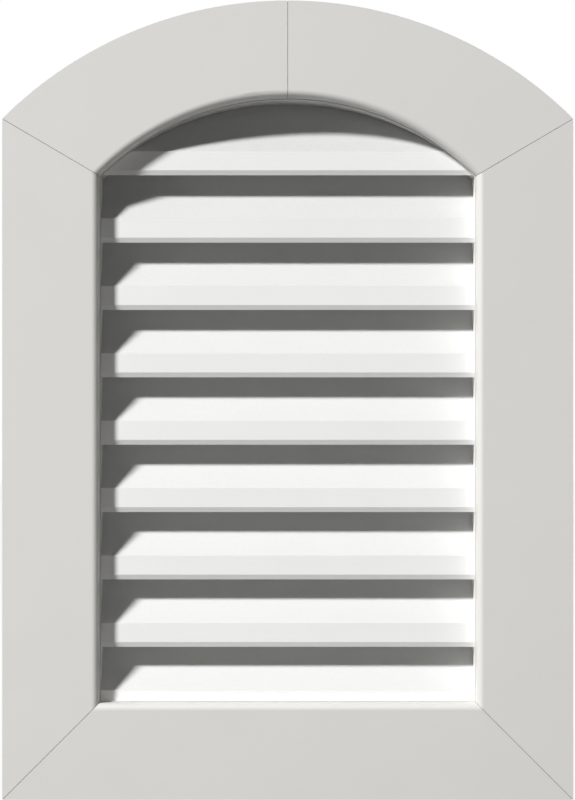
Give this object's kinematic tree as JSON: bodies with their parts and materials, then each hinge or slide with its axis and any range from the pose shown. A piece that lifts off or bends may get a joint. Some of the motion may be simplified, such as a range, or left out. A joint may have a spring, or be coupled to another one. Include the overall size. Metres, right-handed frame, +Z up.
{
  "type": "gable vent",
  "caption": "Arch-top louvered gable vent: mitred face frame with a rounded inner edge, box liner, slanted louvers and a rear insect screen.",
  "frame": {"origin": "on the wall plane, at the middle of the bottom edge of the face frame's back", "axes": "+X to the right as seen from outside the house, +Y from the face into the wall, +Z up"},
  "size_m": [0.508, 0.0702, 0.7112],
  "materials": {
    "face_board": "cellular PVC trim board, satin, pale warm grey",
    "liner_board": "cellular PVC board, satin white",
    "louver_board": "cellular PVC board, satin white",
    "screen_mesh": "PVC-coated glass-fibre insect mesh, charcoal",
    "staple_wire": "galvanised flat wire"
  },
  "bodies": {
    "root": {"bottom_rail": "face_board", "left_stile": "face_board", "right_stile": "face_board", "left_arch_board": "face_board", "right_arch_board": "face_board", "sill": "liner_board", "left_jamb": "liner_board", "right_jamb": "liner_board", "arched_head": "liner_board", "louver_1": "louver_board", "louver_2": "louver_board", "louver_3": "louver_board", "louver_4": "louver_board", "louver_5": "louver_board", "louver_6": "louver_board", "louver_7": "louver_board", "louver_8": "louver_board", "louver_9": "louver_board", "insect_screen": "screen_mesh", "screen_staples": "staple_wire"}
  },
  "joints": []
}
